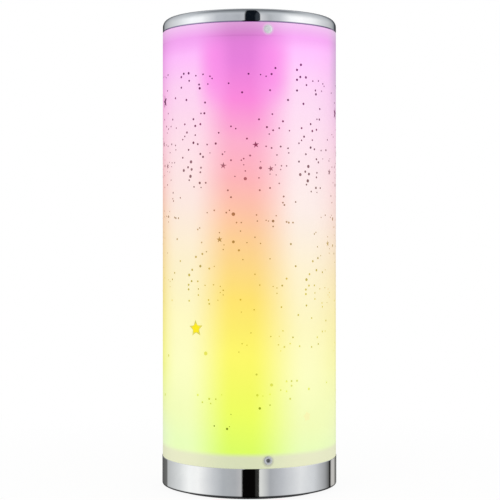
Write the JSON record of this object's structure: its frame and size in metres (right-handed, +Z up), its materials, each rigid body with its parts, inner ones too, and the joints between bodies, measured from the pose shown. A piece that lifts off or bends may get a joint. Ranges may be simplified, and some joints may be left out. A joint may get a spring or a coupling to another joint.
{
  "type": "led table lamp",
  "caption": "Free-standing cylinder lamp: a satin tube lit from inside, between a chromed base with inlet and push button and a chromed cap.",
  "frame": {"origin": "on the table under the lamp's axis, at the underside of the foot ring", "axes": "+Z up along the lamp's axis; -Y the front, where the shade screws show just right of the middle; +Y the back, with the inlet and the button"},
  "size_m": [0.12, 0.12, 0.32],
  "materials": {
    "chrome_plate": "polished nickel-chrome plate on drawn steel",
    "satin_tube": "satin opal acrylic, lit from inside in a colour run",
    "diffuser_film": "milky film",
    "collar_plastic": "moulded ABS, fine satin",
    "nickel_screws": "nickel plated",
    "zinc_steel": "zinc plated sheet steel",
    "foam": "closed-cell foam, matte",
    "grommet_rubber": "moulded rubber",
    "post_aluminium": "extruded, satin",
    "white_abs": "moulded ABS",
    "strip_laminate": "white solder mask",
    "chip_plastic": "clear resin over a phosphor",
    "board_laminate": "green solder mask",
    "black_plastic": "glass-filled nylon",
    "brass_contact": "turned",
    "wire_jacket": "vinyl jacket",
    "spring_steel": "drawn wire",
    "can_aluminium": "drawn can",
    "button_plastic": "moulded, polished face"
  },
  "bodies": {
    "lamp": {"foot_ring": "foam", "base_plate": "zinc_steel", "plate_screws": "nickel_screws", "plate_pillars": "zinc_steel", "ballast_disc": "zinc_steel", "ballast_screws": "nickel_screws", "base_shell": "chrome_plate", "deck_grommet": "grommet_rubber", "lower_collar": "collar_plastic", "lower_collar_screws": "nickel_screws", "shade_tube": "satin_tube", "lower_shade_screws": "nickel_screws", "upper_shade_screws": "nickel_screws", "diffuser_sleeve": "diffuser_film", "upper_collar": "collar_plastic", "upper_collar_screws": "nickel_screws", "cap_bushes": "zinc_steel", "top_cap": "chrome_plate", "post_foot": "zinc_steel", "post_foot_screws": "nickel_screws", "post_foot_nuts": "nickel_screws", "post_side_screws": "nickel_screws", "led_post": "post_aluminium", "post_head": "white_abs", "led_lead": "wire_jacket", "lead_splice": "wire_jacket", "strip_leads": "wire_jacket", "control_board": "board_laminate", "board_pillars": "zinc_steel", "board_screws": "nickel_screws", "wire_connector": "white_abs", "controller_chip": "black_plastic", "capacitor": "can_aluminium", "dc_socket": "black_plastic", "dc_pin": "brass_contact", "switch_body": "black_plastic", "button_spring": "spring_steel", "led_strip_1": "strip_laminate", "led_chips_1": "chip_plastic", "led_strip_2": "strip_laminate", "led_chips_2": "chip_plastic", "led_strip_3": "strip_laminate", "led_chips_3": "chip_plastic", "led_strip_4": "strip_laminate", "led_chips_4": "chip_plastic"},
    "button": {"mode_button": "button_plastic", "switch_plunger": "white_abs"}
  },
  "joints": [
    {"name": "mode_button_press", "type": "slide", "parent": "lamp", "child": "button", "axis": [0, -1, 0], "range_m": [0, 0.001], "stiffness_N_per_m": 900, "springref_m": -0.0006, "deforming": ["button_spring"]}
  ]
}
